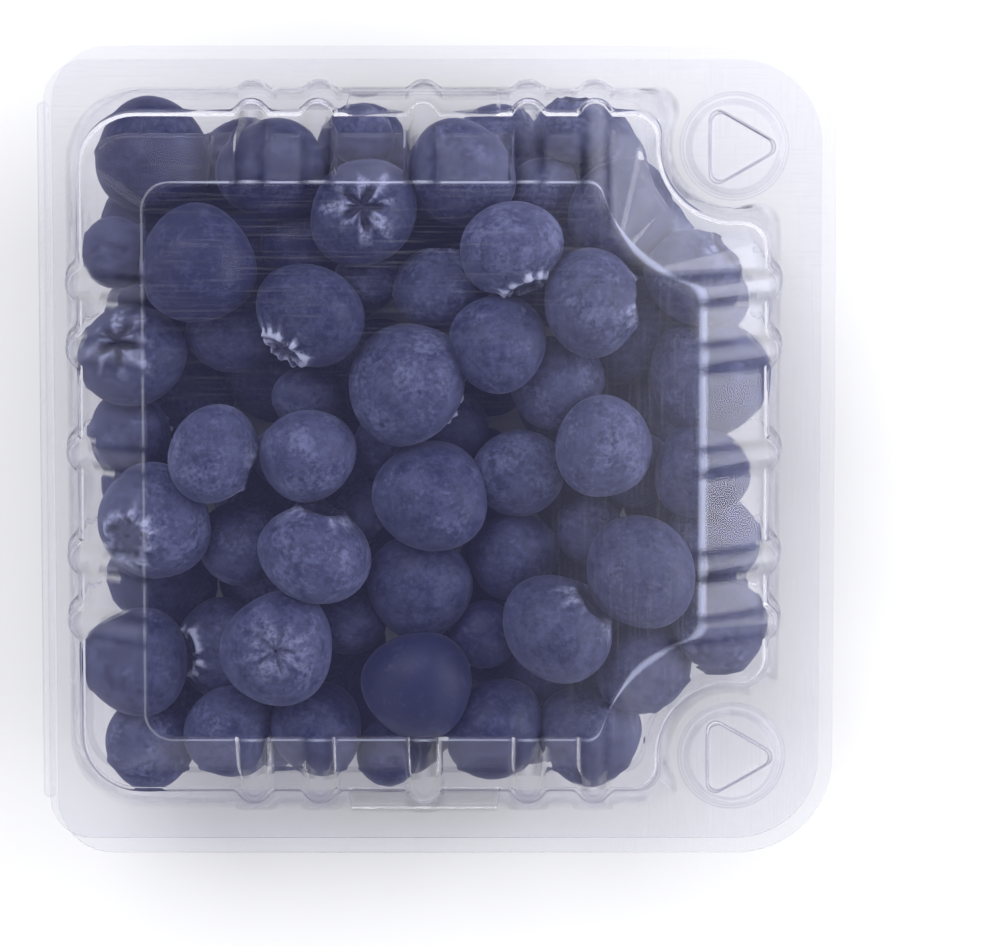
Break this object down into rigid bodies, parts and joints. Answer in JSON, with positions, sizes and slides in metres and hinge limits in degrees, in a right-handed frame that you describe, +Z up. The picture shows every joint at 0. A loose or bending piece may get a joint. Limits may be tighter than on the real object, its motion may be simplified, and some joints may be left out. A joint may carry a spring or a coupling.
{
  "type": "punnet of blueberries",
  "caption": "Clear hinged clamshell punnet with a ribbed, notched lid and a deep tub, shut and full of fresh blueberries.",
  "frame": {"origin": "on the floor under the middle of the whole pack's box", "axes": "+Z up through the lid, +Y along the hinge, +X from the hinge to the snap buttons"},
  "size_m": [0.114, 0.117, 0.0353],
  "materials": {
    "clear_pet": "clear glossy thermoformed PET sheet",
    "blueberry_skin": "dark blue skin under a dusty pale bloom"
  },
  "bodies": {
    "tub": {"tub": "clear_pet", "blueberries": "blueberry_skin"},
    "lid": {"lid": "clear_pet"}
  },
  "joints": [
    {"name": "lid_hinge", "type": "hinge", "parent": "tub", "child": "lid", "pos_m": [-0.0561, 0, 0.02465], "axis": [0, -1, 0], "range_deg": [0, 180]}
  ]
}
